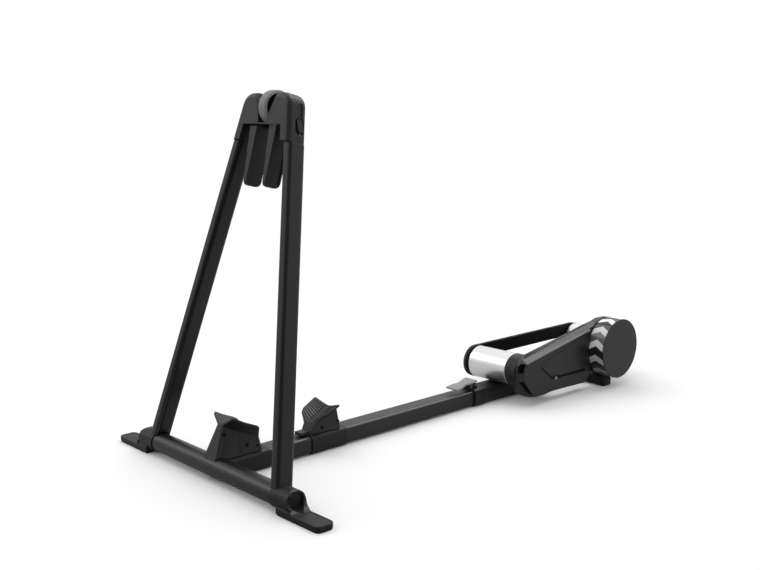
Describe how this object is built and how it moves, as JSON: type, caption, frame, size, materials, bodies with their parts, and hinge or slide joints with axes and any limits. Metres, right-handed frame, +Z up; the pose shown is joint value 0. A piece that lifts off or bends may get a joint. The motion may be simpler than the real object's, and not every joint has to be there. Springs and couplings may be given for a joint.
{
  "type": "bicycle roller trainer",
  "caption": "Indoor trainer: grooved chocks and a folding clamp frame hold the front wheel, linked rollers with a braked flywheel carry the rear wheel.",
  "frame": {"origin": "middle of the footprint, on the floor", "axes": "+Y along the rail from the front feet to the rollers, +X towards the flywheel, +Z up"},
  "size_m": [0.787, 1.5214, 0.8689],
  "materials": {
    "frame_paint": "satin black powder coat",
    "cast_black": "satin black on cast metal",
    "moulded_black": "fine-grained black moulding",
    "charcoal_plastic": "charcoal moulding",
    "grey_plastic": "grey moulding",
    "lever_silver": "satin silver-grey",
    "rubber": "matt",
    "belt_rubber": "ribbed, dusty",
    "roller_aluminium": "bead-blasted and clear anodised",
    "steel": "turned",
    "brass": "turned",
    "flywheel_iron": "rim wrapped in a band of plain chevrons",
    "flywheel_cover": "charcoal",
    "coil_metal": "varnished winding",
    "board": "green laminate"
  },
  "bodies": {
    "base": {"crossbar": "frame_paint", "rail_tube": "frame_paint", "rail_socket": "cast_black", "front_chock": "moulded_black", "foot_left": "cast_black", "foot_right": "cast_black", "sole_left": "rubber", "sole_right": "rubber"},
    "a_frame": {"leg_collar_left": "cast_black", "leg_collar_right": "cast_black", "leg_left": "frame_paint", "leg_right": "frame_paint", "head_front_shell": "moulded_black", "head_rear_shell": "moulded_black", "head_cap_left": "moulded_black", "head_cap_right": "moulded_black"},
    "dial": {"clamp_dial": "grey_plastic", "lead_screw": "steel"},
    "left_clamp": {"paddle_left": "charcoal_plastic", "clamp_nut_left": "brass"},
    "right_clamp": {"paddle_right": "charcoal_plastic", "clamp_nut_right": "brass"},
    "sliding_chock": {"rear_chock_sleeve": "cast_black", "rear_chock": "moulded_black"},
    "button": {"chock_button": "charcoal_plastic"},
    "rear_unit": {"rear_tube": "frame_paint", "clamp_collar": "cast_black", "lever_pin": "steel", "front_cradle": "cast_black", "rear_cross_foot": "cast_black", "rear_pad_left": "rubber", "rear_pad_right": "rubber", "far_arm": "frame_paint", "link_belt": "belt_rubber", "roller_collar": "charcoal_plastic", "housing_inner_shell": "moulded_black", "housing_outer_shell": "moulded_black", "housing_panel": "moulded_black", "housing_screw": "steel", "flywheel_shroud": "charcoal_plastic", "drive_belt": "belt_rubber", "front_roller_far_bearing": "steel", "front_roller_near_bearing": "steel", "rear_roller_far_bearing": "steel", "rear_roller_near_bearing": "steel", "flywheel_bearing": "steel", "brake_coil": "coil_metal", "circuit_board": "board", "power_socket": "moulded_black"},
    "lever": {"clamp_lever": "lever_silver"},
    "front_roller": {"front_roller_drum": "roller_aluminium", "front_roller_axle": "steel", "front_roller_link_pulley": "charcoal_plastic", "front_drive_pulley": "charcoal_plastic"},
    "rear_roller": {"rear_roller_drum": "roller_aluminium", "rear_roller_axle": "steel", "rear_roller_link_pulley": "charcoal_plastic"},
    "flywheel": {"flywheel_rotor": "flywheel_iron", "flywheel_face": "flywheel_cover", "flywheel_shaft": "steel"}
  },
  "joints": [
    {"name": "a_frame_fold", "type": "hinge", "parent": "base", "child": "a_frame", "pos_m": [0, -0.7345, 0.031], "axis": [-1, 0, 0], "range_deg": [0, 60]},
    {"name": "dial_turn", "type": "hinge", "parent": "a_frame", "child": "dial", "pos_m": [0, -0.54608, 0.82938], "axis": [1, 0, 0], "range_deg": [-540, 360]},
    {"name": "left_paddle_slide", "type": "slide", "parent": "a_frame", "child": "left_clamp", "axis": [1, 0, 0], "range_m": [-0.01201, 0.00801]},
    {"name": "right_paddle_slide", "type": "slide", "parent": "a_frame", "child": "right_clamp", "axis": [-1, 0, 0], "range_m": [-0.01201, 0.00801]},
    {"name": "rear_chock_slide", "type": "slide", "parent": "base", "child": "sliding_chock", "axis": [0, 1, 0], "range_m": [-0.04, 0.08]},
    {"name": "chock_button_press", "type": "slide", "parent": "sliding_chock", "child": "button", "axis": [0, 0, -1], "range_m": [0, 0.0025], "stiffness_N_per_m": 600, "springref_m": -0.002},
    {"name": "rear_unit_telescope", "type": "slide", "parent": "base", "child": "rear_unit", "axis": [0, 1, 0], "range_m": [-0.1, 0.15]},
    {"name": "lever_lift", "type": "hinge", "parent": "rear_unit", "child": "lever", "pos_m": [0, 0.1325, 0.0605], "axis": [-1, 0, 0], "range_deg": [0, 75]},
    {"name": "front_roller_spin", "type": "hinge", "parent": "rear_unit", "child": "front_roller", "pos_m": [0, 0.2429, 0.096], "axis": [1, 0, 0], "continuous": true},
    {"name": "rear_roller_spin", "type": "hinge", "parent": "rear_unit", "child": "rear_roller", "pos_m": [0, 0.714, 0.096], "axis": [1, 0, 0], "continuous": true},
    {"name": "flywheel_spin", "type": "hinge", "parent": "rear_unit", "child": "flywheel", "pos_m": [0, 0.5885, 0.1219], "axis": [1, 0, 0], "continuous": true}
  ],
  "couplings": [
    {"joint": "left_paddle_slide", "follows": "dial_turn", "m_per_rad": 0.0012732},
    {"joint": "right_paddle_slide", "follows": "dial_turn", "m_per_rad": 0.0012732},
    {"joint": "front_roller_spin", "follows": "flywheel_spin", "ratio": 0.35714},
    {"joint": "rear_roller_spin", "follows": "flywheel_spin", "ratio": 0.35714}
  ]
}
